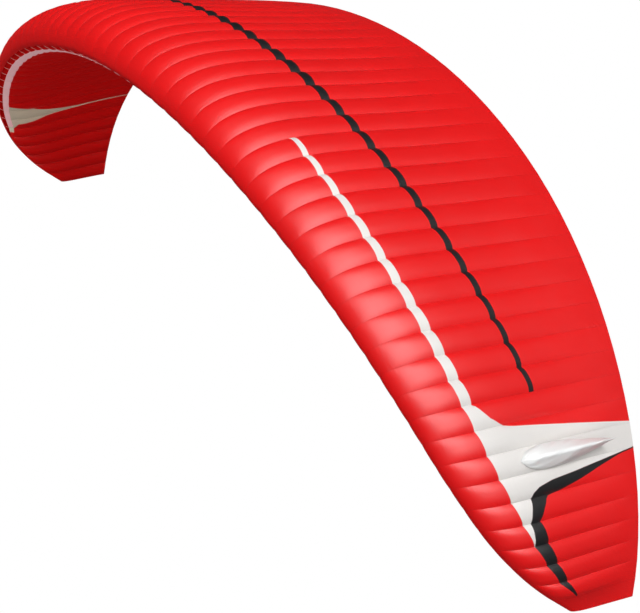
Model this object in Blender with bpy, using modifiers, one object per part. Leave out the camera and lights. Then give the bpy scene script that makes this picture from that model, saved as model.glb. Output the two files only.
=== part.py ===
"""Ram-air paraglider wing in its flying shape: 61 inflated cells along a curved arc.

Metres, +Z up. +X runs along the span, -Y is the flight direction, so the nose faces -Y and
the trailing edge +Y. A station counts cells from the middle of the wing: the walls between
cells stand at stations 0.5, 1.5, ... 30.5 on both wings. A chord position is written as a nose
coordinate q: q * q is the share of the chord behind the nose, positive on the upper skin and
negative on the lower one, so that one number runs smoothly around the nose.
The origin is on the lower sail's middle cell, at the chord share where the lines pull.
"""
import math

import bmesh
import bpy
from mathutils import Vector

# Driving dimensions
CELLS = 61
HALF_SPAN = 5.85               # along the arc, from the middle of the wing to a tip
CENTRE_CELL_EXTRA = 0.08       # how much wider than the mean the middle cells are, as a share
TRIM = math.radians(7.5)       # the whole wing's nose-down angle
PIVOT_SHARE = 0.30             # chord share that the arc passes through
CLOTH = 0.0015                 # every skin, wall and tape
SEAM_GAP = 0.0004              # between layers that are sewn together
EDGE_SEAM = 0.0007             # between skins that are sewn edge to edge
RIDGE_EXTRA = 1.05             # a skin is this much deeper under its valley at a wall
EDGE_HALF = CLOTH + SEAM_GAP + CLOTH / 2   # half of the trailing edge: skin, gap, half the tape
MIDDLE_END = 10.5              # each skin is sewn from three lengths: the middle one ends here
JOIN_STEP = 0.002              # half the seam between two lengths, as a share of a cell

# Plan and arc along the half span:
# share of the half span, nose y, tail y, tilt of the arc in degrees, share of full thickness
PLAN = (
    (0.00, -0.825, 1.924, 0.0, 1.00),
    (0.20, -0.788, 1.907, 12.0, 1.00),
    (0.40, -0.661, 1.851, 24.1, 1.00),
    (0.60, -0.419, 1.759, 38.4, 1.00),
    (0.70, -0.244, 1.714, 47.1, 1.00),
    (0.80, -0.002, 1.685, 57.0, 1.00),
    (0.90, 0.381, 1.678, 67.5, 1.00),
    (0.95, 0.674, 1.684, 72.4, 0.94),
    (1.00, 1.071, 1.693, 76.9, 0.45),
)
NOSE_Y, TAIL_Y, TILT, FULLNESS = 1, 2, 3, 4

# Section: height over chord = q * (1 - share) * a smooth mix of these four, nose to tail
UPPER_SHAPE = (0.375, 0.215, 0.114, 0.192)
LOWER_SHAPE = (0.198, 0.110, 0.045, 0.004)

# Bulge of a skin between two walls, as a share of the cell's width, at the nose and at the tail
UPPER_BULGE = (0.140, 0.055)
LOWER_BULGE = (0.090, 0.040)
BULGE_FADE = 14                # how late the bulge dies away ahead of the trailing edge
NOSE_REACH = 0.26              # the bulge is least at the nose's tip and full from this q on
NOSE_LEAST = 0.10              # the share of the bulge that is left there

# Chord rows of the skins
UPPER_ROWS = (0.0, 0.09, 0.19, 0.30, 0.42, 0.55, 0.68, 0.80, 0.90, 0.97, 1.0)   # q
UPPER_WALL_ROWS = (0.0, 0.09, 0.30, 0.55, 0.80, 0.97, 1.0)                      # q
LOWER_ROWS = (0.0, 0.06, 0.19, 0.37, 0.58, 0.79, 0.94, 1.0)   # share of the way to the tail

# Air intakes: chord shares on the lower side
LIP_SHARE = 0.006              # edge of the upper sail's nose wrap
BAND_FRONT = 0.0275
BAND_REAR = 0.0600
LAST_OPEN_WALL = 24.5          # the last full intake ends at this station
BAND_END = 26.0
BAND_END_REAR = 0.0160         # the band's rear edge at its blunt end
CLOSE_STEP = 0.02              # the lower sail turns round the band's end in this part of a cell

# Fin, sewn on the upper sail
FIN_STATION = 23.0
FIN_LEAN = 0.10                # how far its ridge leans inboard, as a share of its height
FIN_LIFT = 0.0012
# chord share on the sail, half width, height of the ridge; two rows lie on rows of the sail
FIN_ROWS = (
    (0.316, 0.010, 0.012),
    (0.338, 0.046, 0.060),
    (0.395, 0.076, 0.118),
    (UPPER_ROWS[6] ** 2, 0.088, 0.162),
    (0.560, 0.078, 0.208),
    (UPPER_ROWS[7] ** 2, 0.058, 0.236),
    (0.720, 0.034, 0.254),
    (0.775, 0.008, 0.262),
)
FIN_SIDE = ((0.0, 0.86), (0.32, 1.0), (0.72, 0.62))   # share of the height, share of the width

TIP = CELLS / 2
WALLS = [index + 0.5 for index in range(CELLS // 2 + 1)]
MID_CELLS = [float(index) for index in range(CELLS // 2 + 1)]


def smooth_read(column, share):
    """A column of PLAN at a share of the half span; negative shares are the left wing."""
    odd = -1.0 if column == TILT else 1.0
    rows = [(-row[0], odd * row[column]) for row in reversed(PLAN[1:])]
    rows += [(row[0], row[column]) for row in PLAN]
    last = len(rows) - 2
    index = 0
    while index < last and rows[index + 1][0] < share:
        index += 1

    def secant(step):
        step = min(max(step, 0), last)
        return (rows[step + 1][1] - rows[step][1]) / (rows[step + 1][0] - rows[step][0])

    def slope(knot):
        if knot == 0 or knot == last + 1:
            inner = 1 if knot == 0 else last
            return 2 * secant(knot - 1 if knot else 0) - slope(inner)
        before = rows[knot][0] - rows[knot - 1][0]
        after = rows[knot + 1][0] - rows[knot][0]
        return (secant(knot - 1) * after + secant(knot) * before) / (before + after)

    start, value = rows[index]
    end, next_value = rows[index + 1]
    width = end - start
    way = (share - start) / width
    return ((2 * way ** 3 - 3 * way ** 2 + 1) * value
            + (way ** 3 - 2 * way ** 2 + way) * width * slope(index)
            + (3 * way ** 2 - 2 * way ** 3) * next_value
            + (way ** 3 - way ** 2) * width * slope(index + 1))


def span_share(station):
    """Share of the half span at a station; cells narrow towards the tips."""
    share = station / TIP
    return (1 + CENTRE_CELL_EXTRA) * share - CENTRE_CELL_EXTRA * share ** 3


def arc_point(share):
    """x and z of the arc at a share of the half span, from its tilt."""
    steps = max(2, round(abs(share) * 240))
    step = share / steps
    x = z = 0.0
    for index in range(steps):
        tilt = math.radians(smooth_read(TILT, (index + 0.5) * step))
        x += math.cos(tilt) * step * HALF_SPAN
        z -= math.sin(tilt) * step * HALF_SPAN
    return x, z


def section_height(q, fullness):
    """Height over chord of the section at q, before the trailing edge's own thickness."""
    share = q * q
    shape = UPPER_SHAPE if q > 0 else LOWER_SHAPE
    mix = sum(weight * math.comb(3, power) * share ** power * (1 - share) ** (3 - power)
              for power, weight in enumerate(shape))
    return fullness * q * (1 - share) * mix


class Rib:
    """The plane between two cells at a wall's station."""

    def __init__(self, station):
        share = span_share(station)
        x, z = arc_point(share)
        tilt = math.radians(smooth_read(TILT, share))
        nose, tail = smooth_read(NOSE_Y, share), smooth_read(TAIL_Y, share)
        outward = Vector((math.sin(tilt), 0, math.cos(tilt)))
        flight = Vector((0, 1, 0))
        self.chord = tail - nose
        self.fullness = smooth_read(FULLNESS, abs(share))
        self.pivot = Vector((x, nose + PIVOT_SHARE * self.chord, z))
        self.span = Vector((math.cos(tilt), 0, -math.sin(tilt)))
        self.aft = flight * math.cos(TRIM) + outward * math.sin(TRIM)
        self.out = outward * math.cos(TRIM) - flight * math.sin(TRIM)

    def flat(self, q):
        """Position along the chord and height over it at q."""
        height = section_height(q, self.fullness) * self.chord
        height += EDGE_HALF * min(1.0, max(-1.0, q / 0.2))
        return q * q * self.chord, height

    def normal(self, q):
        """Outward direction of the section at q."""
        step = 0.002
        (y0, h0), (y1, h1) = self.flat(max(-1.0, q - step)), self.flat(min(1.0, q + step))
        return (self.out * (y1 - y0) - self.aft * (h1 - h0)).normalized()

    def point(self, q, inset=0.0):
        along, height = self.flat(q)
        place = self.pivot + self.aft * (along - PIVOT_SHARE * self.chord) + self.out * height
        return place - self.normal(q) * inset


RIBS = {station: Rib(station) for station in [-0.5] + WALLS}


def bulge_share(q):
    nose, tail = UPPER_BULGE if q > 0 else LOWER_BULGE
    if -0.25 < q <= 0:
        nose += (UPPER_BULGE[0] - LOWER_BULGE[0]) * (1 + q / 0.25)
    share = q * q
    way = min(1.0, abs(q) / NOSE_REACH)
    fade = NOSE_LEAST + (1 - NOSE_LEAST) * way * way * (3 - 2 * way)
    return (nose + (tail - nose) * share) * (1 - share ** BULGE_FADE) * fade


def skin_point(station, q):
    """A point of the skin: straight between two walls, and bulged out of that line."""
    inner = min(math.floor(station - 0.5) + 0.5, TIP - 1)
    rib, next_rib = RIBS[inner], RIBS[inner + 1]
    way = station - inner
    start, end = rib.point(q), next_rib.point(q)
    normal = (rib.normal(q) * (1 - way) + next_rib.normal(q) * way).normalized()
    bulge = (end - start).length * bulge_share(q) * 4 * way * (1 - way)
    return start.lerp(end, way) + normal * bulge


def chord_at(station):
    share = span_share(station)
    return smooth_read(TAIL_Y, share) - smooth_read(NOSE_Y, share)


def seam_share(station):
    """Chord share of a seam gap between two edges that follow the swept nose."""
    step = 0.005
    share = min(1 - step, max(step, span_share(station)))
    rise = smooth_read(NOSE_Y, share + step) - smooth_read(NOSE_Y, share - step)
    return EDGE_SEAM * math.hypot(1, rise / (2 * step * HALF_SPAN)) / chord_at(station)


def intake_edges(station):
    """Chord shares of the band's front and rear edges and of the lower sail's front edge."""
    seam = seam_share(station)
    way = min(1.0, max(0.0, (station - LAST_OPEN_WALL) / (BAND_END - LAST_OPEN_WALL)))
    front = BAND_FRONT + (LIP_SHARE + seam - BAND_FRONT) * way
    rear = BAND_REAR + (BAND_END_REAR - BAND_REAR) * way
    closed = station >= BAND_END + CLOSE_STEP
    return front, rear, (LIP_SHARE if closed else rear) + seam


def upper_rows(station):
    return (-math.sqrt(LIP_SHARE),) + UPPER_ROWS


def band_rows(station):
    front, rear, _ = intake_edges(station)
    return [-math.sqrt(share) for share in (rear, (front + rear) / 2, front)]


def lower_rows(station):
    start = intake_edges(station)[2]
    return [-math.sqrt(start + (1 - start) * share) for share in reversed(LOWER_ROWS)]


def wall_rows(station):
    """Rows of a wall's outline, from the tail along the lower side and back over the top."""
    front, rear, _ = intake_edges(station)
    rows = lower_rows(station)
    if station < BAND_END:
        rows = rows[:-1] + [-math.sqrt(rear), -math.sqrt(front)]
    return rows + [-math.sqrt(LIP_SHARE)] + list(UPPER_WALL_ROWS)


def make_material(name, colour):
    material = bpy.data.materials.new(name)
    material.use_nodes = True
    shader = material.node_tree.nodes["Principled BSDF"]
    shader.inputs["Base Color"].default_value = (*colour, 1.0)
    shader.inputs["Roughness"].default_value = 0.45
    return material


def add_object(name, bm, collection, material):
    mesh = bpy.data.meshes.new(name)
    bm.to_mesh(mesh)
    bm.free()
    mesh.materials.append(material)
    part = bpy.data.objects.new(name, mesh)
    collection.objects.link(part)
    return part


def add_mirror(part):
    mirror = part.modifiers.new("other wing", "MIRROR")
    mirror.merge_threshold = 0.00005


def make_length(name, side, stations, rows, collection, material):
    """One length of a skin: the right one, the left one, or half of the middle one, mirrored."""
    bm = bmesh.new()
    columns, lines = len(stations) - 1, len(rows(0)) - 1
    bmesh.ops.create_grid(bm, x_segments=columns, y_segments=lines, size=0.5)
    for vert in bm.verts:
        station = stations[round((vert.co.x + 0.5) * columns)]
        place = skin_point(station, rows(station)[round((vert.co.y + 0.5) * lines)])
        vert.co = (-place.x if side == "left" else place.x, place.y, place.z)
    if side == "left":
        bmesh.ops.reverse_faces(bm, faces=bm.faces)
    part = add_object(f"{name}_{side}", bm, collection, material)
    if side == "middle":
        add_mirror(part)
    cloth = part.modifiers.new("cloth", "SOLIDIFY")
    cloth.thickness = CLOTH
    cloth.offset = -1
    cloth.use_even_offset = True


def make_skin(name, stations, rows, collection, material):
    """One layer of cloth over the whole span, in its three lengths."""
    inner = [station for station in stations if station < MIDDLE_END] + [MIDDLE_END - JOIN_STEP]
    outer = [MIDDLE_END + JOIN_STEP] + [station for station in stations if station > MIDDLE_END]
    make_length(name, "middle", inner, rows, collection, material)
    for side in ("right", "left"):
        make_length(name, side, outer, rows, collection, material)


def wall_inset(station, q):
    """How far a wall's edge lies inside the skin, which crosses it at a slant near the tips."""
    rib = RIBS[station]
    inner, outer = RIBS[max(station - 1, -0.5)], RIBS[min(station + 1, TIP)]
    along_span = outer.point(q) - inner.point(q)
    slant = abs(along_span.dot(rib.normal(q))) / abs(along_span.dot(rib.span))
    return (RIDGE_EXTRA * CLOTH + SEAM_GAP) * math.hypot(1, slant) + slant * CLOTH / 2


def add_wall(bm, station):
    """One wall, its outline extruded to the cloth's thickness; returns its two tail loops."""
    rib = RIBS[station]
    inboard = -rib.span * (CLOTH if station == TIP else CLOTH / 2)
    verts = [bm.verts.new(rib.point(q, wall_inset(station, q)) + inboard)
             for q in wall_rows(station)]
    inner = [verts[-2], verts[-1], verts[0], verts[1]]
    sides = [bm.faces.new(verts[1:-1]), bm.faces.new(inner)]
    copy = bmesh.ops.extrude_face_region(bm, geom=sides, use_keep_orig=True)
    moved = [item for item in copy["geom"] if isinstance(item, bmesh.types.BMVert)]
    outer = [min(moved, key=lambda vert: (vert.co - mate.co).length) for mate in inner]
    bmesh.ops.translate(bm, verts=moved, vec=rib.span * CLOTH)
    return inner, outer


def make_cell_walls(collection, material):
    """The walls of one wing, joined at their tails by the seam tape, then mirrored."""
    bm = bmesh.new()
    tails = [add_wall(bm, station) for station in WALLS]
    middle = [bm.verts.new((0, vert.co.y, vert.co.z)) for vert in tails[0][0]]
    ends = [middle] + [loop for tail in tails for loop in tail]
    open_loops = [set(loop) for loop in ends[1:-1]]
    bridged = [face for face in bm.faces if set(face.verts) in open_loops]
    bmesh.ops.delete(bm, geom=bridged, context="FACES_ONLY")
    for start, end in zip(ends[0::2], ends[1::2]):
        for index in range(4):
            after = (index + 1) % 4
            bm.faces.new((start[index], start[after], end[after], end[index]))
    bmesh.ops.recalc_face_normals(bm, faces=bm.faces)
    add_mirror(add_object("cell_walls", bm, collection, material))


def facet_point(station, share):
    """A point of the upper sail's faces, which are flat between its rows and half cells."""
    low = max(q for q in UPPER_ROWS if q * q <= share)
    high = min(q for q in UPPER_ROWS if q * q > share)
    way = (share - low * low) / (high * high - low * low)
    half = math.floor(station * 2) / 2
    across = (station - half) * 2
    ends = [skin_point(half + side, low).lerp(skin_point(half + side, high), way)
            for side in (0, 0.5)]
    return ends[0].lerp(ends[1], across)


def make_fin(name, side, collection, material):
    """An inflated fin lofted from the rows of FIN_ROWS, its foot laid on the upper sail."""
    rib = Rib(FIN_STATION)
    lift = rib.out * FIN_LIFT
    cell = (RIBS[FIN_STATION + 0.5].pivot - RIBS[FIN_STATION - 0.5].pivot).length
    bm = bmesh.new()
    loops = []
    for share, half_width, height in FIN_ROWS:
        foot = {way: facet_point(FIN_STATION + way * half_width / cell, share) + lift
                for way in (-1, 0, 1)}
        rise = (rib.out - rib.span * FIN_LEAN) * height
        ridge = foot[0] + rise
        inner = [foot[-1].lerp(foot[0], 1 - width) + rise * up for up, width in FIN_SIDE]
        outer = [foot[1].lerp(foot[0], 1 - width) + rise * up for up, width in FIN_SIDE]
        loop = [foot[0]] + inner + [ridge] + outer[::-1]
        loops.append([bm.verts.new((side * place.x, place.y, place.z)) for place in loop])
    for start, end in zip(loops, loops[1:]):
        for index in range(len(start)):
            after = (index + 1) % len(start)
            bm.faces.new((start[index], start[after], end[after], end[index]))
    bm.faces.new(loops[0])
    bm.faces.new(loops[-1])
    bmesh.ops.recalc_face_normals(bm, faces=bm.faces)
    part = add_object(name, bm, collection, material)
    part.data.shade_smooth()
    return part


def main():
    for leftover in list(bpy.data.objects):
        bpy.data.objects.remove(leftover, do_unlink=True)
    collection = bpy.data.collections.new("paraglider_wing")
    bpy.context.scene.collection.children.link(collection)

    red = make_material("red_sail", (0.78, 0.01, 0.01))
    dark_red = make_material("dark_red_sail", (0.30, 0.01, 0.01))
    pale = make_material("pale_cloth", (0.80, 0.74, 0.72))

    whole = sorted(MID_CELLS + WALLS)
    make_skin("upper_sail", whole, upper_rows, collection, red)
    lower = sorted(whole + [BAND_END + CLOSE_STEP])
    make_skin("lower_sail", lower, lower_rows, collection, dark_red)
    band = [station for station in whole if station < BAND_END] + [BAND_END - CLOSE_STEP]
    make_skin("intake_band", band, band_rows, collection, pale)
    make_cell_walls(collection, pale)
    make_fin("fin_right", 1, collection, pale)
    make_fin("fin_left", -1, collection, pale)

    drop = skin_point(0, -math.sqrt(PIVOT_SHARE))
    for part in collection.objects:
        part.location = (0, -drop.y, -drop.z)


main()
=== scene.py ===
"""Visual model of the ram-air paraglider wing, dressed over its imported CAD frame.

Metres, +Z up, +X along the span, -Y the flight direction. A station counts cells from the
middle of the wing: the walls between cells stand at stations 0.5, 1.5, ... 30.5 on both wings,
and negative stations are the left wing. A chord position is written as a nose coordinate q:
q * q is the share of the chord behind the nose, positive on the upper side and negative on the
lower one. A panel's edge is a line of (chord share, station) or (station, chord share) pairs.
"""
import math

import bpy
import numpy as np
from mathutils import Matrix, Vector


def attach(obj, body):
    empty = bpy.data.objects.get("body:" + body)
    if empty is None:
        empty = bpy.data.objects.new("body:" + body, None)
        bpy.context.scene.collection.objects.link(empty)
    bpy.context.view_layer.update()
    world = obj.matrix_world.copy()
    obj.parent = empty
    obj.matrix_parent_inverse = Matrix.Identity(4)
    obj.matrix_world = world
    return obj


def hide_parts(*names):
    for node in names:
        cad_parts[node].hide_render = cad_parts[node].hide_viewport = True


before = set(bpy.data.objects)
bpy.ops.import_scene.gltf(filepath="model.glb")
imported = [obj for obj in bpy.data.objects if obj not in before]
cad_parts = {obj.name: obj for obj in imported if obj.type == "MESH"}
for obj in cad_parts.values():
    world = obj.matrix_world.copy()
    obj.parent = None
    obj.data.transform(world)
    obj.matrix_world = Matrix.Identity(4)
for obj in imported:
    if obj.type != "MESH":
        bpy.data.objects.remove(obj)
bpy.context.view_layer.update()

# ---------------------------------------------------------------- the wing's form
CELLS = 61
TIP = CELLS / 2
HALF_SPAN = 5.85               # along the arc, from the middle of the wing to a tip
CENTRE_CELL_EXTRA = 0.08       # how much wider than the mean the middle cells are, as a share
TRIM = math.radians(7.5)       # the whole wing's nose-down angle
PIVOT_SHARE = 0.30             # chord share that the arc passes through
CLOTH = 0.0015
SEAM_GAP = 0.0004              # between layers that are sewn together
EDGE_SEAM = 0.0007             # between sheets that are sewn edge to edge
RIDGE_EXTRA = 1.05             # a sail is this much deeper under its valley at a wall
EDGE_HALF = CLOTH + SEAM_GAP + CLOTH / 2   # half the trailing edge: sail, gap, half the tape
EDGE_REACH = 0.2               # the edge grows to that thickness over this q from the nose

# share of the half span, nose y, tail y, tilt of the arc in degrees, share of full thickness
PLAN = (
    (0.00, -0.825, 1.924, 0.0, 1.00),
    (0.20, -0.788, 1.907, 12.0, 1.00),
    (0.40, -0.661, 1.851, 24.1, 1.00),
    (0.60, -0.419, 1.759, 38.4, 1.00),
    (0.70, -0.244, 1.714, 47.1, 1.00),
    (0.80, -0.002, 1.685, 57.0, 1.00),
    (0.90, 0.381, 1.678, 67.5, 1.00),
    (0.95, 0.674, 1.684, 72.4, 0.94),
    (1.00, 1.071, 1.693, 76.9, 0.45),
)
NOSE_Y, TAIL_Y, TILT, FULLNESS = 1, 2, 3, 4

# section: height over chord = q * (1 - share) * a smooth mix of these four, nose to tail
UPPER_SHAPE = (0.375, 0.215, 0.114, 0.192)
LOWER_SHAPE = (0.198, 0.110, 0.045, 0.004)

# chord share and the upper cells' bulge there, in cell widths
UPPER_BULGE = ((0.0, 0.132), (0.10, 0.140), (0.30, 0.152), (0.50, 0.140), (0.70, 0.100),
               (0.85, 0.050), (1.0, 0.0))
LOWER_BULGE = (0.090, 0.040)   # at the nose and at the tail, in cell widths
BULGE_FADE = 14                # how late the lower bulge dies away ahead of the trailing edge
CROWN = 2.6                    # how flat a cell's crown is; 2 is a parabola
TURN_REACH = 0.25              # q over which the nose wrap's bulge turns into the lower sail's
NOSE_REACH = 0.45              # the bulge is least at the nose, where q is 0, and full here
NOSE_LEAST = 0.10              # the share of the bulge that is left at the nose

# air intakes: chord shares on the lower side
LIP_SHARE = 0.006              # edge of the upper sail's nose wrap
BAND_FRONT = 0.0275
BAND_REAR = 0.0600
LAST_OPEN_WALL = 24.5          # the last full intake ends at this station
BAND_END = 26.0
BAND_END_REAR = 0.0160         # the band's rear edge at its blunt end
CLOSE_STEP = 0.02              # the lower sail turns round the band's end in this part of a cell

FIN_STATION = 23.0
FIN_LEAN = 0.10                # how far its ridge leans inboard, as a share of its height
FIN_LIFT = 0.0012
# chord share on the sail, half width, height of the ridge
FIN_ROWS = (
    (0.316, 0.010, 0.012),
    (0.338, 0.046, 0.060),
    (0.395, 0.076, 0.118),
    (0.4624, 0.088, 0.162),
    (0.560, 0.078, 0.208),
    (0.640, 0.058, 0.236),
    (0.720, 0.034, 0.254),
    (0.775, 0.008, 0.262),
)
# way from the foot to the ridge, share of the height, share of the half width
FIN_SIDE = ((0.0, 0.0, 0.86), (0.38, 0.32, 1.0), (0.75, 0.72, 0.62), (1.0, 1.0, 0.0))
FIN_SECTIONS = 41
FIN_STEPS = 13                 # points of a section from the foot to the ridge

SIDE_STEPS = 12                # columns of the sails' mesh in one cell
UPPER_LINES = 60               # rows of the upper sail's mesh
LOWER_LINES = 40
BAND_LINES = 6
HEM_POINTS = 7                 # points along a wall's bound edge


def cubic(knots, values, slope, low, at):
    """Values at places between knots low and low + 1, from the values and slopes there."""
    width = knots[low + 1] - knots[low]
    way = (at - knots[low]) / width
    return ((2 * way ** 3 - 3 * way ** 2 + 1) * values[low]
            + (way ** 3 - 2 * way ** 2 + way) * width * slope[low]
            + (3 * way ** 2 - 2 * way ** 3) * values[low + 1]
            + (way ** 3 - way ** 2) * width * slope[low + 1])


def smooth_read(column, share):
    """A column of PLAN at shares of the half span; negative shares are the left wing."""
    share = np.asarray(share, float)
    odd = -1.0 if column == TILT else 1.0
    knots = np.array([-row[0] for row in reversed(PLAN[1:])] + [row[0] for row in PLAN])
    values = np.array([odd * row[column] for row in reversed(PLAN[1:])]
                      + [row[column] for row in PLAN])
    width = np.diff(knots)
    secant = np.diff(values) / width
    slope = np.empty(len(knots))
    slope[1:-1] = (secant[:-1] * width[1:] + secant[1:] * width[:-1]) / (width[1:] + width[:-1])
    slope[0] = 2 * secant[0] - slope[1]
    slope[-1] = 2 * secant[-1] - slope[-2]
    low = np.clip(np.searchsorted(knots, share, side="left") - 1, 0, len(knots) - 2)
    return cubic(knots, values, slope, low, share)


def span_share(station):
    """Share of the half span, along the arc, at which a station stands."""
    share = station / TIP
    return (1 + CENTRE_CELL_EXTRA) * share - CENTRE_CELL_EXTRA * share ** 3


ARC_REACH = 1.05               # the arc is worked out a little past the tips
ARC_POINTS = 4201


def arc():
    """x and z of the arc at shares of the half span, integrated from its tilt."""
    share = np.linspace(-ARC_REACH, ARC_REACH, ARC_POINTS)
    tilt = np.radians(smooth_read(TILT, share))
    step = (share[1] - share[0]) * HALF_SPAN

    def total(rate):
        sums = np.concatenate([[0], np.cumsum((rate[1:] + rate[:-1]) / 2 * step)])
        return sums - np.interp(0, share, sums)

    return share, total(np.cos(tilt)), -total(np.sin(tilt))


ARC = arc()


def section_height(q, fullness):
    """Height of the section at q, as a share of the chord; negative on the lower side."""
    share = q * q

    def mix(shape):
        return sum(weight * math.comb(3, power) * share ** power * (1 - share) ** (3 - power)
                   for power, weight in enumerate(shape))

    return fullness * q * (1 - share) * np.where(q > 0, mix(UPPER_SHAPE), mix(LOWER_SHAPE))


def rib_axes(station):
    """Chord, fullness, pivot point, aft, outward and span directions at stations."""
    share = span_share(np.asarray(station, float))
    tilt = np.radians(smooth_read(TILT, share))
    nose, tail = smooth_read(NOSE_Y, share), smooth_read(TAIL_Y, share)
    zero = 0 * tilt
    outward = np.stack([np.sin(tilt), zero, np.cos(tilt)], -1)
    span = np.stack([np.cos(tilt), zero, -np.sin(tilt)], -1)
    flight = np.array([0, 1, 0])
    chord = tail - nose
    pivot = np.stack([np.interp(share, ARC[0], ARC[1]), nose + PIVOT_SHARE * chord,
                      np.interp(share, ARC[0], ARC[2])], -1)
    aft = flight * math.cos(TRIM) + outward * math.sin(TRIM)
    out = outward * math.cos(TRIM) - flight * math.sin(TRIM)
    return chord, smooth_read(FULLNESS, np.abs(share)), pivot, aft, out, span


def flat_section(q, chord, fullness):
    """Distance behind the nose and height of the section, in metres."""
    height = section_height(q, fullness) * chord + EDGE_HALF * np.clip(q / EDGE_REACH, -1, 1)
    return q * q * chord, height


SLOPE_STEP = 0.002             # q either side of a point, for the section's slope there


def rib_points(station, q):
    """Points and outward normals of the section at every station and every q."""
    chord, fullness, pivot, aft, out, _ = rib_axes(station)
    chord, fullness, q = chord[:, None], fullness[:, None], np.asarray(q, float)
    q = q[None, :] if q.ndim == 1 else q
    along, height = flat_section(q, chord, fullness)
    points = (pivot[:, None] + aft[:, None] * (along - PIVOT_SHARE * chord)[..., None]
              + out[:, None] * height[..., None])
    along0, height0 = flat_section(np.maximum(-1, q - SLOPE_STEP), chord, fullness)
    along1, height1 = flat_section(np.minimum(1, q + SLOPE_STEP), chord, fullness)
    normals = (out[:, None] * (along1 - along0)[..., None]
               - aft[:, None] * (height1 - height0)[..., None])
    return points, normals / np.linalg.norm(normals, axis=-1, keepdims=True)


def smooth_table(rows, at):
    """Columns of a table read along its first column with smooth slopes."""
    rows = np.array(rows, float)
    knots = rows[:, 0]
    low = np.clip(np.searchsorted(knots, at, side="right") - 1, 0, len(knots) - 2)
    return [cubic(knots, values, np.gradient(values, knots), low, at)
            for values in rows.T[1:]]


def bulge_share(q):
    """Height of a cell's bulge at rows q, in cell widths."""
    share = q * q
    upper = smooth_table(UPPER_BULGE, share)[0]
    lower = LOWER_BULGE[0] + (LOWER_BULGE[1] - LOWER_BULGE[0]) * share
    turned = (UPPER_BULGE[0][1] - LOWER_BULGE[0]) * np.clip(1 + q / TURN_REACH, 0, 1)
    bulge = np.where(q > 0, upper, (lower + turned) * (1 - share ** BULGE_FADE))
    fade = np.clip(np.abs(q) / NOSE_REACH, 0, 1)
    return bulge * (NOSE_LEAST + (1 - NOSE_LEAST) * fade * fade * (3 - 2 * fade))


def skin(station, q):
    """Points of the skin at stations (n) and rows q (m), or q (n, m)."""
    station = np.asarray(station, float)
    q = np.asarray(q, float)
    away = np.abs(station)
    inner = np.minimum(np.floor(away - 0.5) + 0.5, TIP - 1)
    way = (away - inner)[:, None, None]
    start, normal0 = rib_points(inner, q)
    end, normal1 = rib_points(inner + 1, q)
    normal = normal0 * (1 - way) + normal1 * way
    normal /= np.linalg.norm(normal, axis=-1, keepdims=True)
    rows = q[None, :] if q.ndim == 1 else q
    rise = (np.linalg.norm(end - start, axis=-1) * bulge_share(rows))[..., None]
    crown = 1 - np.abs(2 * way - 1) ** CROWN
    points = start * (1 - way) + end * way + normal * rise * crown
    points[..., 0] *= np.where(station < 0, -1, 1)[:, None]
    return points - DROP


# the wing is moved by this much, so that the origin lies on the lower sail's middle cell
DROP = np.zeros(3)
DROP = skin(np.array([0.0]), np.array([-math.sqrt(PIVOT_SHARE)]))[0, 0] * (0, 1, 1)


def chord_at(station):
    """Length of the chord at stations."""
    share = span_share(np.asarray(station, float))
    return smooth_read(TAIL_Y, share) - smooth_read(NOSE_Y, share)


def seam_share(station):
    """Chord share that a seam of EDGE_SEAM takes, measured square to the swept nose."""
    step = 0.005
    share = np.clip(span_share(station), step, 1 - step)
    rise = smooth_read(NOSE_Y, share + step) - smooth_read(NOSE_Y, share - step)
    return EDGE_SEAM * np.hypot(1, rise / (2 * step * HALF_SPAN)) / chord_at(station)


def intake_edges(station):
    """Chord shares of the band's front and rear edges and of the lower sail's front edge."""
    station = np.abs(np.asarray(station, float))
    seam = seam_share(station)
    way = np.clip((station - LAST_OPEN_WALL) / (BAND_END - LAST_OPEN_WALL), 0, 1)
    front = BAND_FRONT + (LIP_SHARE + seam - BAND_FRONT) * way
    rear = BAND_REAR + (BAND_END_REAR - BAND_REAR) * way
    closed = station >= BAND_END + CLOSE_STEP
    return front, rear, np.where(closed, LIP_SHARE, rear) + seam


# ---------------------------------------------------------------- meshes
EVEN_SPACING = 0.35            # the rest of a cell's columns are drawn towards its walls


def cell_steps():
    """Stations of one cell's columns, closer together at its walls."""
    way = 0.5 - 0.5 * np.cos(np.pi * np.arange(SIDE_STEPS + 1) / SIDE_STEPS)
    return EVEN_SPACING * np.linspace(0, 1, SIDE_STEPS + 1) + (1 - EVEN_SPACING) * way


def span_stations(limit=TIP, extra=()):
    """Stations of a sail's columns from the left end to the right one."""
    right = [wall + step for wall in np.arange(-0.5, TIP - 1) for step in cell_steps()[:-1]]
    right = np.array([station for station in right if 0 <= station < limit - 1e-6])
    right = np.unique(np.round(np.concatenate([[0], right, extra, [limit]]), 6))
    return np.concatenate([-right[:0:-1], right])


def make_mesh(name, points, faces, materials, smooth=True):
    mesh = bpy.data.meshes.new(name)
    mesh.from_pydata([tuple(map(float, point)) for point in points], [], faces)
    mesh.update()
    for material in materials:
        mesh.materials.append(material)
    if smooth:
        mesh.shade_smooth()
    piece = bpy.data.objects.new(name, mesh)
    bpy.context.scene.collection.objects.link(piece)
    return piece


def set_vectors(piece, name, values):
    """Gives a piece's points a named vector each, which its material reads."""
    layer = piece.data.attributes.new(name, "FLOAT_VECTOR", "POINT")
    layer.data.foreach_set("vector", np.asarray(values, np.float32).ravel())


def grid_faces(columns, lines):
    index = np.arange(columns * lines).reshape(columns, lines)
    quads = np.stack([index[:-1, :-1], index[1:, :-1], index[1:, 1:], index[:-1, 1:]], -1)
    return quads.reshape(-1, 4).tolist()


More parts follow.
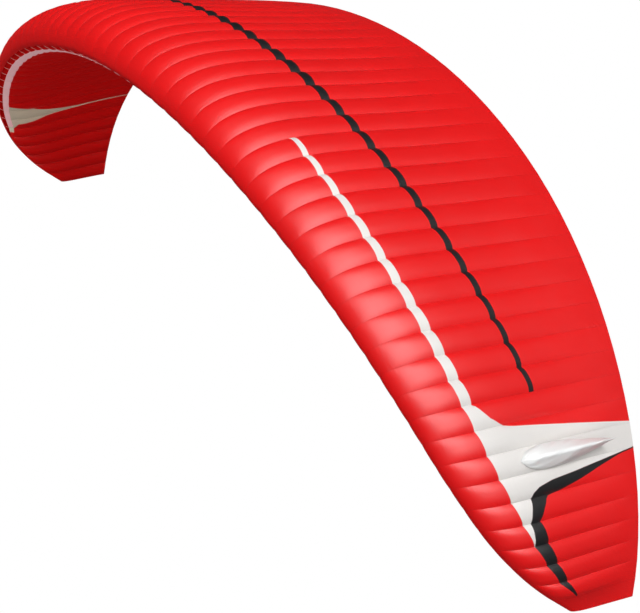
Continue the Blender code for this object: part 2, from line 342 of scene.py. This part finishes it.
def lengths(points, axis):
    """Distance along the cloth from the first column or row."""
    steps = np.linalg.norm(np.diff(points, axis=axis), axis=-1)
    start = np.zeros_like(np.take(steps, [0], axis=axis))
    return np.concatenate([start, np.cumsum(steps, axis=axis)], axis=axis)


def make_sail(name, station, q, *materials):
    """One layer of cloth over a grid of stations and rows; q is (rows) or (stations, rows).

    Its "cloth" attribute holds the distances along the cloth, and "place" the station from
    the middle of the wing, q and the cell's width. Returns the piece, and for each point its
    station, chord share, chord and cell width.
    """
    q = np.broadcast_to(q, (len(station), np.shape(q)[-1]))
    points = skin(station, q)
    columns, lines = q.shape
    piece = make_mesh(name, points.reshape(-1, 3), grid_faces(columns, lines), materials)
    across = lengths(points, 0).mean(axis=1, keepdims=True) + 0 * q
    along = lengths(points, 1)
    set_vectors(piece, "cloth", np.stack([across, along, 0 * q], -1))
    way = np.abs(station)[:, None] + 0 * q
    width = np.interp(np.abs(station), *cell_widths())[:, None] + 0 * q
    set_vectors(piece, "place", np.stack([way, q, width], -1))
    # the seams at the walls and the sheet's own borders stay sharp
    ends = np.empty(2 * len(piece.data.edges), np.int32)
    piece.data.edges.foreach_get("vertices", ends)
    column, row = ends.reshape(-1, 2).T // lines, ends.reshape(-1, 2).T % lines
    at_wall = np.isclose((np.abs(station) + 0.5) % 1, 0, atol=1e-5)
    at_wall[[0, -1]] = True
    sharp = ((column[0] == column[1]) & at_wall[column[0]]
             | (row[0] == row[1]) & np.isin(row[0], (0, lines - 1)))
    layer = piece.data.attributes.new("sharp_edge", "BOOLEAN", "EDGE")
    layer.data.foreach_set("value", sharp)
    cloth = piece.modifiers.new("cloth", "SOLIDIFY")
    cloth.thickness = CLOTH
    cloth.offset = -1
    cloth.use_even_offset = True
    if len(piece.data.materials) > 1:
        cloth.material_offset = 1
    return piece, way, q * q, chord_at(station)[:, None] + 0 * q, width


def cell_widths():
    """Stations of the cells' middles and the cells' widths along the arc."""
    middles = np.arange(0, TIP + 0.5)
    share = span_share(middles + 0.5) - span_share(np.maximum(middles - 0.5, -0.5))
    return middles, share * HALF_SPAN


# ---------------------------------------------------------------- coloured panels
# the upper sail's black stripe: tables of (station, chord share)
BLACK_STRIPE_END = 20.5
BLACK_FRONT = 0.378
BLACK_SWEEP, SWEEP_STATION = 0.119, 20                 # it lies so much further aft there
BLACK_WIDTH = ((0, 0.0365), (5, 0.0355), (7.5, 0.0305), (12, 0.0289), (20.5, 0.0250))
# its white stripe
WHITE_STRIPE_START = 8.5
WHITE_FRONT = ((8.5, 0.172), (12, 0.169), (20, 0.170), (26.5, 0.190), (28.5, 0.197),
               (29.6, 0.255))
WHITE_REAR = ((8.5, 0.189), (12, 0.194), (16, 0.203), (20, 0.216), (31, 0.218))
# its white panel with the black one outside it: tables of (chord share, station)
BLACK_END = 29.6
WHITE_INNER = ((0.20, 20.40), (0.22, 20.50), (0.235, 20.80), (0.26, 21.15), (0.31, 21.50),
               (0.35, 21.60), (0.50, 21.80), (1.0, 22.45))
WHITE_OUTER = ((0.19, 26.55), (0.22, 25.85), (0.25, 25.20), (0.31, 24.32), (0.36, 24.10),
               (0.45, 23.95), (0.60, 23.85), (1.0, 23.50))
BLACK_OUTER = ((0.26, 29.50), (0.285, 26.30), (0.295, 25.50), (0.335, 25.05), (0.39, 24.55),
               (0.49, 24.45), (0.63, 24.20), (0.77, 23.90), (0.90, 23.65), (1.0, 23.55))
# the lower sail's beige wedge, and where the intake band turns beige and then red
PALE_END, BEIGE_END = 24.3, 24.9
WEDGE_INNER = ((0.06, 21.87), (0.16, 22.20), (0.25, 22.60), (0.35, 22.90), (0.46, 23.17),
               (0.60, 23.40), (0.90, 23.50), (1.0, 23.50))
WEDGE_OUTER = ((0.0, 25.20), (0.10, 23.95), (0.16, 23.90), (0.23, 23.80), (0.32, 23.60),
               (0.40, 23.55), (1.0, 23.55))


def line(pairs, at):
    """Reads a panel's edge at chord shares or stations."""
    return np.interp(at, [pair[0] for pair in pairs], [pair[1] for pair in pairs])


def mark_upper(piece, station, share, chord, width):
    """Signed distances in metres to the edges of the coloured panels."""
    front = BLACK_FRONT + BLACK_SWEEP * (station / SWEEP_STATION) ** 2
    set_vectors(piece, "black_stripe", np.stack([
        (share - front) * chord, (front + line(BLACK_WIDTH, station) - share) * chord,
        (BLACK_STRIPE_END - station) * width], -1))
    set_vectors(piece, "white_stripe", np.stack([
        (share - line(WHITE_FRONT, station)) * chord,
        (line(WHITE_REAR, station) - share) * chord,
        (station - WHITE_STRIPE_START) * width], -1))
    set_vectors(piece, "white_panel", np.stack([
        (station - line(WHITE_INNER, share)) * width,
        (line(WHITE_OUTER, share) - station) * width,
        (line(BLACK_OUTER, share) - station) * width], -1))


def mark_lower(piece, station, share, width):
    """Signed distances in metres to the edges of the beige wedge."""
    set_vectors(piece, "wedge", np.stack([
        (station - line(WEDGE_INNER, share)) * width,
        (line(WEDGE_OUTER, share) - station) * width, 0 * station], -1))


# ---------------------------------------------------------------- materials
SOFT_EDGE = 0.003              # width over which a coloured panel's edge fades


class Nodes:
    """A short way to write a node tree."""

    def __init__(self, name):
        self.material = bpy.data.materials.new(name)
        self.material.use_nodes = True
        self.tree = self.material.node_tree
        self.shader = self.tree.nodes["Principled BSDF"]
        self.shader.distribution = "GGX"

    def add(self, kind, inputs=(), **settings):
        node = self.tree.nodes.new(kind)
        for key, value in settings.items():
            setattr(node, key, value)
        for key, value in dict(inputs).items():
            self.feed(node.inputs[key], value)
        return node

    def feed(self, socket, value):
        if isinstance(value, bpy.types.NodeSocket):
            self.tree.links.new(value, socket)
        else:
            socket.default_value = value

    def math(self, operation, *values, clamp=False):
        node = self.add("ShaderNodeMath", enumerate(values), operation=operation)
        node.use_clamp = clamp
        return node.outputs[0]

    def attribute(self, name):
        node = self.add("ShaderNodeAttribute", attribute_name=name)
        return node.outputs["Vector"]

    def parts(self, vector):
        node = self.add("ShaderNodeSeparateXYZ", {0: vector})
        return node.outputs[0], node.outputs[1], node.outputs[2]

    def inside(self, distance):
        """1 where a signed distance is positive, with a narrow soft edge."""
        return self.math("MULTIPLY_ADD", distance, 1 / SOFT_EDGE, 0.5, clamp=True)

    def all_of(self, *masks):
        result = masks[0]
        for mask in masks[1:]:
            result = self.math("MULTIPLY", result, mask)
        return result

    def mix(self, factor, first, second, blend="MIX"):
        node = self.add("ShaderNodeMix", data_type="RGBA", blend_type=blend)
        self.feed(node.inputs["Factor"], factor)
        self.feed(node.inputs[6], first)
        self.feed(node.inputs[7], second)
        return node.outputs[2]

    def shaded(self, colour, tone):
        """A colour times a grey tone."""
        grey = self.add("ShaderNodeCombineColor", {0: tone, 1: tone, 2: tone})
        return self.mix(1.0, colour, grey.outputs[0], "MULTIPLY")

    def around_one(self, pattern, change):
        """A pattern from 0 to 1 as a factor that varies by change around 1."""
        return self.math("MULTIPLY_ADD", pattern, change, 1 - change / 2)

    def less(self, mask, change):
        """A factor of 1, or 1 - change where a mask is 1."""
        return self.math("MULTIPLY_ADD", mask, -change, 1.0)

    def noise(self, vector, scale, detail=2.0, roughness=0.5):
        node = self.add("ShaderNodeTexNoise", {
            "Vector": vector, "Scale": scale, "Detail": detail, "Roughness": roughness})
        return node.outputs[0]

    def stretched(self, vector, scale):
        node = self.add("ShaderNodeVectorMath", {0: vector, 1: scale}, operation="MULTIPLY")
        return node.outputs[0]

    def bump(self, height, strength, distance, before=None):
        node = self.add("ShaderNodeBump", {
            "Height": height, "Strength": strength, "Distance": distance})
        if before is not None:
            self.feed(node.inputs["Normal"], before)
        return node.outputs[0]


def rgb(red, green, blue):
    return (red, green, blue, 1.0)


# the weave, the seams and the creases, in metres unless a comment says otherwise
THREAD = 0.005                 # side of the ripstop's squares
THREAD_HALF = 0.09             # half a thread's width, as a share of a square
STITCH = 0.004                 # one stitch with the gap before it
STITCH_GAP = 0.25              # the gap, as a share of STITCH
STITCH_ROW = 0.0065            # the row of stitches lies this far from the wall
STITCH_HALF = 0.0007           # half the row's width
SEAM_GROOVE = 0.0030           # half the width of the groove along the needle line
PUCKER_FADE, PUCKER_BASE = 28.0, 2.718   # 1/28 m from a wall the puckers are 1/2.718 as deep
WEAVE_DEPTH, CRINKLE_DEPTH, PUCKER_DEPTH, SEAM_DEPTH = 0.00015, 0.004, 0.006, 0.0008
# patterns' steps per metre across and along the cloth
CLOUD_SCALE, GLOSS_SCALE = 1.4, 5.0
CRINKLE_SCALE, PUCKER_SCALE, FOLD_SCALE = (9.0, 6.0, 1.0), (5.0, 30.0, 1.0), (4.0, 24.0, 1.0)
FOLD_SLANT = 0.2               # angle of the folds, in radians
# how much each pattern changes the cloth's tone, as a share of it
CLOUD_TONE, PANEL_TONE, THREAD_TONE, STITCH_TONE = 0.10, 0.03, 0.03, 0.2
GLOSS_CHANGE = 0.10            # how much the roughness varies
PUFF_START, PUFF_FULL = 21.0, 26.0   # stations where the outermost cells' extra swell sets in


def weave(nodes, across, along):
    """1 on the ripstop's thicker threads."""

    def ridge(distance):
        way = nodes.math("FRACT", nodes.math("DIVIDE", distance, THREAD))
        return nodes.math("COMPARE", way, 0.5, THREAD_HALF)

    return nodes.math("MAXIMUM", ridge(across), ridge(along))


def uneven_tone(nodes, cloth, station, grid):
    """Large clouds, one tone for each cell's panel, and the weave's grid."""
    cloud = nodes.noise(cloth, CLOUD_SCALE, 2.0)
    tone = nodes.around_one(cloud, CLOUD_TONE)
    panel = nodes.math("FLOOR", nodes.math("ADD", station, 0.5))
    whim = nodes.add("ShaderNodeTexWhiteNoise", {"W": panel}, noise_dimensions="1D")
    tone = nodes.math("MULTIPLY", tone, nodes.around_one(whim.outputs[0], PANEL_TONE))
    return nodes.math("MULTIPLY", tone, nodes.less(grid, THREAD_TONE))


def seam_masks(nodes, way, width, along):
    """The distance to the nearest wall, and masks of its needle line and its stitches."""
    near = nodes.math("MULTIPLY", width, nodes.math(
        "MINIMUM", way, nodes.math("SUBTRACT", 1.0, way)))
    groove = nodes.math("SUBTRACT", 1.0, nodes.math("DIVIDE", near, SEAM_GROOVE), clamp=True)
    row = nodes.math("COMPARE", near, STITCH_ROW, STITCH_HALF)
    thread = nodes.math("GREATER_THAN", nodes.math(
        "FRACT", nodes.math("DIVIDE", along, STITCH)), STITCH_GAP)
    return near, groove, nodes.math("MULTIPLY", row, thread)


def seam_relief(nodes, normal, cloth, near, groove, stitch):
    """The puckers beside a seam, its sunk needle line and its raised stitches."""
    pucker = nodes.noise(nodes.stretched(cloth, PUCKER_SCALE), 1.0, 1.5)
    close = nodes.math("POWER", PUCKER_BASE, nodes.math("MULTIPLY", near, -PUCKER_FADE))
    normal = nodes.bump(nodes.math("MULTIPLY", pucker, close), 0.5, PUCKER_DEPTH, normal)
    sunk = nodes.math("ADD", nodes.math("MULTIPLY", groove, -1.0),
                      nodes.math("MULTIPLY", stitch, 0.4))
    return nodes.bump(sunk, 0.6, SEAM_DEPTH, normal)


def cloth_material(name, paint, roughness=0.475, specular=1.0, seam_shade=0.09, seam=True,
                   glow=0.0, puff=0.0, folds=0.0):
    """Ripstop nylon. paint(nodes) gives its colour.

    seam_shade is painted shade: how much darker the needle lines are painted, as if the seams'
    valleys lay in shade. glow is the strength of a painted glow, an emission in place of the
    daylight that comes through the cloth. puff is the extra swell of the outermost cells and
    folds the depth of soft folds, both in metres.
    """
    nodes = Nodes(name)
    cloth = nodes.attribute("cloth")
    station, _, width = nodes.parts(nodes.attribute("place"))
    across, along, _ = nodes.parts(cloth)
    way = nodes.math("FRACT", nodes.math("ADD", station, 0.5))
    grid = weave(nodes, across, along)
    tone = uneven_tone(nodes, cloth, station, grid)
    crinkle = nodes.noise(nodes.stretched(cloth, CRINKLE_SCALE), 1.0, 3.0, 0.55)
    normal = nodes.bump(grid, 0.25, WEAVE_DEPTH)
    normal = nodes.bump(crinkle, 0.35, CRINKLE_DEPTH, normal)
    if seam:
        near, groove, stitch = seam_masks(nodes, way, width, along)
        # painted shade: the needle lines are darkened as if the seams' valleys lay in shade
        tone = nodes.math("MULTIPLY", tone, nodes.less(groove, seam_shade))
        tone = nodes.math("MULTIPLY", tone, nodes.less(stitch, STITCH_TONE))
        normal = seam_relief(nodes, normal, cloth, near, groove, stitch)
    if puff:
        crown = nodes.math("MULTIPLY", way, nodes.math("SUBTRACT", 1.0, way))
        rate = 1 / (PUFF_FULL - PUFF_START)
        outer = nodes.math("MULTIPLY_ADD", station, rate, -PUFF_START * rate, clamp=True)
        normal = nodes.bump(nodes.math("MULTIPLY", crown, outer), 1.0, 4 * puff, normal)
    if folds:
        slant = nodes.add("ShaderNodeVectorRotate", {"Vector": cloth, "Angle": FOLD_SLANT})
        fold = nodes.noise(nodes.stretched(slant.outputs[0], FOLD_SCALE), 1.0, 1.0)
        normal = nodes.bump(fold, 1.0, folds, normal)
    nodes.feed(nodes.shader.inputs["Normal"], normal)
    colour = nodes.shaded(paint(nodes), tone)
    nodes.feed(nodes.shader.inputs["Base Color"], colour)
    gloss = nodes.math("MULTIPLY_ADD", nodes.noise(cloth, GLOSS_SCALE, 2.0), GLOSS_CHANGE,
                       roughness - GLOSS_CHANGE / 2)
    nodes.feed(nodes.shader.inputs["Roughness"], gloss)
    nodes.shader.inputs["Specular IOR Level"].default_value = specular
    # painted light: the cloth glows in its own colour, in place of the daylight that comes
    # through it
    if glow:
        nodes.feed(nodes.shader.inputs["Emission Color"], colour)
        nodes.shader.inputs["Emission Strength"].default_value = glow
    return nodes.material


RED = rgb(0.82, 0.0025, 0.0035)
BLACK = rgb(0.007, 0.007, 0.008)
WHITE = rgb(0.79, 0.76, 0.735)
FIN_WHITE = rgb(0.85, 0.86, 0.855)
DARK_RED = rgb(0.68, 0.0013, 0.0012)
# a darker red for the cells' inside, painted shade there, and the colour of their painted glow
INSIDE_SHADE_AND_GLOW_RED = rgb(0.50, 0.003, 0.003)
BEIGE = rgb(0.66, 0.56, 0.42)
PALE = rgb(0.90, 0.51, 0.53)
WALL_PALE = rgb(0.85, 0.42, 0.40)


def upper_paint(nodes):
    """Red, with the black and white stripes and the two panels near the fin."""
    station, nose, _ = nodes.parts(nodes.attribute("place"))
    over = nodes.math("GREATER_THAN", nose, 0.0)
    front, rear, end = nodes.parts(nodes.attribute("black_stripe"))
    black = nodes.all_of(over, nodes.inside(front), nodes.inside(rear), nodes.inside(end))
    front, rear, start = nodes.parts(nodes.attribute("white_stripe"))
    inner, outer, edge = nodes.parts(nodes.attribute("white_panel"))
    stripe = nodes.all_of(nodes.inside(rear), nodes.inside(start))
    panel = nodes.math("MAXIMUM", stripe, nodes.inside(inner))
    behind = nodes.all_of(over, nodes.inside(front))
    white = nodes.all_of(behind, panel, nodes.inside(outer))
    short = nodes.math("LESS_THAN", station, BLACK_END)
    trim = nodes.all_of(behind, nodes.inside(edge), short,
                        nodes.math("SUBTRACT", 1.0, nodes.inside(outer)))
    colour = nodes.mix(nodes.math("MAXIMUM", black, trim), RED, BLACK)
    return nodes.mix(white, colour, WHITE)


def lower_paint(nodes):
    """Dark red with a beige wedge."""
    inner, outer, _ = nodes.parts(nodes.attribute("wedge"))
    wedge = nodes.all_of(nodes.inside(inner), nodes.inside(outer))
    return nodes.mix(wedge, DARK_RED, BEIGE)


def band_paint(nodes):
    """Pale, then beige, then dark red towards the tip."""
    station, _, _ = nodes.parts(nodes.attribute("place"))
    colour = nodes.mix(nodes.math("GREATER_THAN", station, PALE_END), PALE, BEIGE)
    return nodes.mix(nodes.math("GREATER_THAN", station, BEIGE_END), colour, DARK_RED)


def plain_paint(colour):
    return lambda nodes: nodes.mix(0.0, colour, colour)


def painted_glow_inside(name, colour, glow):
    """The inside of a red cell: a darker red for painted shade, and a painted glow in place of
    the daylight that the cloth lets through.
    """
    nodes = Nodes(name)
    cloud = nodes.noise(nodes.attribute("cloth"), 6.0, 2.0)
    tone = nodes.around_one(cloud, 0.5)
    nodes.feed(nodes.shader.inputs["Base Color"], nodes.shaded(colour, tone))
    # painted light: the inside glows in its own colour, as if daylight came through the cloth
    nodes.shader.inputs["Emission Color"].default_value = colour
    nodes.shader.inputs["Emission Strength"].default_value = glow
    nodes.shader.inputs["Roughness"].default_value = 0.7
    nodes.shader.inputs["Specular IOR Level"].default_value = 0.2
    return nodes.material


upper_cloth = cloth_material("red_ripstop", upper_paint)
# the cells' insides and the walls get painted shade and a painted glow
upper_inside_painted_glow = painted_glow_inside("red_ripstop_inside_painted_glow", INSIDE_SHADE_AND_GLOW_RED, 0.26)
wall_painted_glow = painted_glow_inside("wall_ripstop_painted_glow", INSIDE_SHADE_AND_GLOW_RED, 0.16)
# the lower sail's glow is painted light, in place of daylight coming through the sunlit upper
# sail
lower_cloth = cloth_material("dark_red_ripstop", lower_paint, specular=0.7, seam_shade=0.06,
                             glow=0.10, puff=0.03)
# the band's glow is painted light, in place of daylight lighting it from behind through the cells
pale_cloth = cloth_material("pale_ripstop", band_paint, glow=0.21)
wall_cloth = cloth_material("wall_ripstop", plain_paint(WALL_PALE), seam=False)
tape_cloth = cloth_material("tape_ripstop", plain_paint(RED), seam=False)
fin_cloth = cloth_material("fin_ripstop", plain_paint(FIN_WHITE), roughness=0.45, seam=False,
                           folds=0.03)

# ---------------------------------------------------------------- sails
# evenly spaced share of the rows' spacing; the rest draws the upper rows together at the tail
# and the lower ones at their front edge
UPPER_EVEN, LOWER_EVEN = 0.75, 0.40


def upper_q():
    """q of the upper sail's rows, from the lip of its nose wrap to the tail."""
    lip = -math.sqrt(LIP_SHARE)
    ways = np.linspace(0, 1, UPPER_LINES + 1)
    return lip + (1 - lip) * (UPPER_EVEN * ways
                              + (1 - UPPER_EVEN) * (1 - (1 - ways) ** 2))


def lower_q(first):
    """q of the lower sail's rows, from the tail to its front edge at a chord share."""
    ways = np.linspace(1, 0, LOWER_LINES + 1)
    return -np.sqrt(first + (1 - first) * (ways * ways * (1 - LOWER_EVEN) + ways * LOWER_EVEN))


upper, *spots = make_sail("upper_sail_cloth", span_stations(), upper_q(),
                          upper_cloth, upper_inside_painted_glow)
mark_upper(upper, *spots)

stations = span_stations(extra=[BAND_END, BAND_END + CLOSE_STEP])
first = intake_edges(stations)[2][:, None]
lower, way, share, _, width = make_sail("lower_sail_cloth", stations, lower_q(first), lower_cloth)
mark_lower(lower, way, share, width)

stations = span_stations(BAND_END - CLOSE_STEP)
front, rear, _ = intake_edges(stations)
ways = np.linspace(1, 0, BAND_LINES + 1)[None, :]
band_rows = -np.sqrt(front[:, None] + (rear - front)[:, None] * ways)
band, *_ = make_sail("intake_band_cloth", stations, band_rows, pale_cloth)


# ---------------------------------------------------------------- cell walls
HEM = 0.0012                   # half width of the binding along a wall's intake edge
HEM_DEPTH = 0.005
HEM_INSET = 0.0026             # from the section's line
TAPE_FRONT = 0.995             # q where the trailing edge's seam tape begins
TAPE_INSET = CLOTH + SEAM_GAP
WALL_KIND, HEM_KIND, TAPE_KIND = 0, 1, 2   # places in the walls' list of materials


def rib_at(station, q):
    """Points and outward normals of one section."""
    points, normals = rib_points(np.array([station]), q)
    return points[0], normals[0]


def span_at(station):
    return rib_axes(np.array([station]))[5][0]


def wall_inset(station, q):
    """How far a wall's edge lies inside the skin, which crosses it at a slant near the tips."""
    _, normal = rib_at(station, q)
    inner, _ = rib_at(max(station - 1, -0.5), q)
    outer, _ = rib_at(min(station + 1, TIP), q)
    along = outer - inner
    slant = np.abs((along * normal).sum(-1)) / np.abs(along @ span_at(station))
    return (RIDGE_EXTRA * CLOTH + SEAM_GAP) * np.hypot(1, slant) + slant * CLOTH / 2


def wall_outline(station):
    """q of a wall's corners, from the tail along the lower side and back over the top."""
    front, rear, first = (float(edge) for edge in intake_edges(station))
    rows = list(lower_q(first))
    if station < BAND_END:
        rows = rows[:-1] + [-math.sqrt(rear), -math.sqrt(front)]
    return np.array(rows + list(upper_q()))


class Slabs:
    """Flat pieces, collected for one mesh."""

    def __init__(self):
        self.points, self.faces, self.kinds = [], [], []

    def join(self, first, second, kind, closed=True):
        """Joins two like rings of points; a closed piece has them as its ends."""
        base, count = len(self.points), len(first)
        self.points.extend(first)
        self.points.extend(second)
        if closed:
            self.faces.append([base + index for index in range(count)][::-1])
            self.faces.append([base + count + index for index in range(count)])
        for index in range(count):
            after = (index + 1) % count
            self.faces.append([base + index, base + after, base + count + after,
                               base + count + index])
        self.kinds.extend([kind] * (count + 2 * closed))

    def thicken(self, ring, thickness, span, kind):
        """A flat ring of points given thickness along the span."""
        self.join(ring - span * thickness / 2, ring + span * thickness / 2, kind)


def add_wall(slabs, station, flip):
    """One wall between two cells; flip mirrors it for the left wing."""
    q = wall_outline(station)
    where, normal = rib_at(station, q)
    span = span_at(station)
    ring = where - normal * wall_inset(station, q)[:, None] - DROP
    if station == TIP:
        ring = ring - span * CLOTH / 2
    slabs.thicken(ring * flip, CLOTH, span * flip, WALL_KIND)


def add_hem(slabs, station, flip):
    """The binding along a wall's edge in the intake."""
    front = float(intake_edges(station)[0])
    where, normal = rib_at(station, -np.sqrt(np.linspace(front, LIP_SHARE, HEM_POINTS)))
    edge = where - normal * HEM_INSET - DROP
    ring = np.concatenate([edge, (edge - normal * HEM_DEPTH)[::-1]])
    slabs.thicken(ring * flip, 2 * HEM, span_at(station) * flip, HEM_KIND)


def add_tape(slabs, inner, flip):
    """The seam tape between the sails' tails, from the wall at inner to the next one."""
    q = np.array([-1.0, -TAPE_FRONT, TAPE_FRONT, 1.0])
    ends = []
    for station in (max(inner, 0.0), inner + 1):
        where, normal = rib_at(station, q)
        ends.append((where - normal * TAPE_INSET - DROP) * flip)
    slabs.join(*ends, TAPE_KIND, closed=False)


def make_walls():
    slabs = Slabs()
    sides = [np.array([side, 1, 1]) for side in (1, -1)]
    for flip in sides:
        for station in np.arange(0.5, TIP + 0.5):
            add_wall(slabs, station, flip)
            if station < LAST_OPEN_WALL + 1:
                add_hem(slabs, station, flip)
    for flip in sides:
        for inner in np.arange(-0.5, TIP):
            add_tape(slabs, inner, flip)
    walls = make_mesh("cell_wall_cloth", slabs.points, slabs.faces,
                      [wall_painted_glow, wall_cloth, tape_cloth], smooth=False)
    walls.data.polygons.foreach_set("material_index", slabs.kinds)
    spots = np.array(slabs.points)
    set_vectors(walls, "cloth", np.stack([spots[:, 1], spots[:, 2], 0 * spots[:, 0]], -1))
    set_vectors(walls, "place", np.zeros_like(spots))
    return walls


walls = make_walls()


# ---------------------------------------------------------------- fins
FIN_CHORD = 1.9                # the sail's chord under the fin
FIN_SPACING = 0.01             # the cloth's pattern takes a section's points as this far apart


def make_fin(name, side):
    """An inflated fin lofted along its foot on the upper sail."""
    front, rear = FIN_ROWS[0][0], FIN_ROWS[-1][0]
    shares = front + (rear - front) * (0.5 - 0.5 * np.cos(np.linspace(0, np.pi, FIN_SECTIONS)))
    half_widths, heights = smooth_table(FIN_ROWS, shares)
    out, span = (axis[0] for axis in rib_axes(np.array([FIN_STATION]))[4:])
    cell = float(np.interp(FIN_STATION, *cell_widths()))
    turn = np.linspace(0, 1, FIN_STEPS)
    up, wide = smooth_table(FIN_SIDE, turn)
    points, cloth = [], []
    for share, half, height in zip(shares, half_widths, heights):
        q = np.array([math.sqrt(share)])
        reach = half / cell
        foot = skin(np.array([FIN_STATION - reach, FIN_STATION, FIN_STATION + reach]), q)[:, 0]
        foot = foot + out * FIN_LIFT
        rise = (out - span * FIN_LEAN) * height
        loop = [foot[1]]
        loop += [foot[1] + (foot[0] - foot[1]) * w + rise * u for u, w in zip(up, wide)]
        loop += [foot[1] + (foot[2] - foot[1]) * w + rise * u
                 for u, w in zip(up[-2::-1], wide[-2::-1])]
        points.extend(np.array(loop) * (side, 1, 1))
        cloth.extend([(share * FIN_CHORD, index * FIN_SPACING, 0) for index in range(len(loop))])
    count = len(points) // len(shares)
    faces = []
    for row in range(len(shares) - 1):
        for index in range(count):
            after = (index + 1) % count
            faces.append([row * count + index, (row + 1) * count + index,
                          (row + 1) * count + after, row * count + after][::side])
    faces.append(list(range(count))[::side])
    faces.append(list(range(len(points) - count, len(points)))[::-side])
    fin = make_mesh(name, points, faces, [fin_cloth])
    set_vectors(fin, "cloth", cloth)
    set_vectors(fin, "place", np.zeros((len(points), 3)))
    return fin


fin_right = make_fin("fin_right_cloth", 1)
fin_left = make_fin("fin_left_cloth", -1)

# ---------------------------------------------------------------- hiding the CAD parts that the pieces replace
for piece, node, slot in ((upper, "upper_sail", "red_sail"),
                          (lower, "lower_sail", "dark_red_sail"),
                          (band, "intake_band", "pale_cloth")):
    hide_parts(node + "_middle", node + "_right", node + "_left")
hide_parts("cell_walls")
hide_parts("fin_right")
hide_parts("fin_left")
for piece in (upper, lower, band, walls, fin_right, fin_left):
    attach(piece, "root")

# ---------------------------------------------------------------- camera, floor and light
CAMERA_PLACE = Vector((10.316, -6.677, 3.626))
CAMERA_AIM = Vector((2.1335, -0.0205, -1.2238))
CAMERA_ROLL = math.radians(10.22)
CAMERA_LENS = 81.84            # mm, for a sensor of 36 mm
FLOOR_Z = -15.0
FLOOR_HALF = 400.0

camera = bpy.data.objects.new("camera", bpy.data.cameras.new("camera"))
bpy.context.scene.collection.objects.link(camera)
camera.data.sensor_width = 36.0
camera.data.lens = CAMERA_LENS
camera.data.clip_end = 500.0
turn = (CAMERA_AIM - CAMERA_PLACE).to_track_quat("-Z", "Y").to_matrix().to_4x4()
camera.matrix_world = (Matrix.Translation(CAMERA_PLACE) @ turn
                       @ Matrix.Rotation(CAMERA_ROLL, 4, "Z"))
bpy.context.scene.camera = camera

# a floor that the camera sees as white and that throws little light back
floor_nodes = Nodes("pale_floor")
floor_nodes.shader.inputs["Base Color"].default_value = rgb(0.02, 0.02, 0.02)
floor_nodes.shader.inputs["Roughness"].default_value = 0.9
floor_nodes.shader.inputs["Specular IOR Level"].default_value = 0.0
seen = floor_nodes.add("ShaderNodeLightPath")
glow = floor_nodes.add("ShaderNodeEmission", {"Color": rgb(1, 1, 1), "Strength": 1.0})
blend = floor_nodes.add("ShaderNodeMixShader", {
    0: seen.outputs["Is Camera Ray"], 1: floor_nodes.shader.outputs[0], 2: glow.outputs[0]})
floor_nodes.feed(floor_nodes.tree.nodes["Material Output"].inputs["Surface"], blend.outputs[0])
corners = [(-FLOOR_HALF, -FLOOR_HALF, FLOOR_Z), (FLOOR_HALF, -FLOOR_HALF, FLOOR_Z),
           (FLOOR_HALF, FLOOR_HALF, FLOOR_Z), (-FLOOR_HALF, FLOOR_HALF, FLOOR_Z)]
floor = make_mesh("floor", corners, [[0, 1, 2, 3]], [floor_nodes.material], smooth=False)

world = bpy.data.worlds.new("studio")
bpy.context.scene.world = world
world.use_nodes = True
tree = world.node_tree
tree.nodes.clear()


def room(strength):
    """Even white light from all around."""
    background = tree.nodes.new("ShaderNodeBackground")
    background.inputs["Color"].default_value = rgb(1.0, 1.0, 1.0)
    background.inputs["Strength"].default_value = strength
    return background.outputs[0]


# the backdrop is white to the camera, and the room is dim to the cloth
ray = tree.nodes.new("ShaderNodeLightPath")
choice = tree.nodes.new("ShaderNodeMixShader")
output = tree.nodes.new("ShaderNodeOutputWorld")
for socket, value in zip(choice.inputs, (ray.outputs["Is Camera Ray"], room(0.01), room(1.0))):
    tree.links.new(value, socket)
tree.links.new(choice.outputs[0], output.inputs["Surface"])


def add_sun(name, azimuth, elevation, strength, angle, diffuse=True, gloss=True):
    """A distant lamp; azimuth 0 stands before the nose and 90 off the right tip."""
    lamp = bpy.data.lights.new(name, "SUN")
    lamp.energy = strength
    lamp.angle = math.radians(angle)
    lamp.cycles.use_multiple_importance_sampling = False
    around, above = math.radians(azimuth), math.radians(elevation)
    towards = Vector((math.sin(around) * math.cos(above), -math.cos(around) * math.cos(above),
                      math.sin(above)))
    item = bpy.data.objects.new(name, lamp)
    item.rotation_mode = "QUATERNION"
    item.rotation_quaternion = towards.to_track_quat("Z", "Y")
    item.visible_diffuse = diffuse
    item.visible_glossy = gloss
    bpy.context.scene.collection.objects.link(item)


# azimuth, elevation, strength, angle; the sheen lamp gives only the broad highlights, and
# the others only diffuse light
add_sun("key", 54.0, 49.0, 1.95, 14.0, gloss=False)
add_sun("sky", 40.0, 80.0, 1.20, 150.0, gloss=False)
add_sun("sheen", 57.0, 40.5, 4.4, 75.0, diffuse=False)
add_sun("fill", 42.0, 18.0, 1.0, 30.0, gloss=False)
add_sun("side", -85.0, 25.0, 0.8, 40.0, gloss=False)

# daylight that the ground throws back up
bounce = bpy.data.lights.new("bounce", "AREA")
bounce.size = 60.0
bounce.energy = 4200.0
bounce.cycles.use_multiple_importance_sampling = False
below = bpy.data.objects.new("bounce", bounce)
below.location = (0.0, 0.0, FLOOR_Z + 0.1)
below.rotation_euler = (math.pi, 0.0, 0.0)
below.visible_camera = False
below.visible_glossy = False
bpy.context.scene.collection.objects.link(below)
bpy.context.scene.view_settings.view_transform = "Standard"
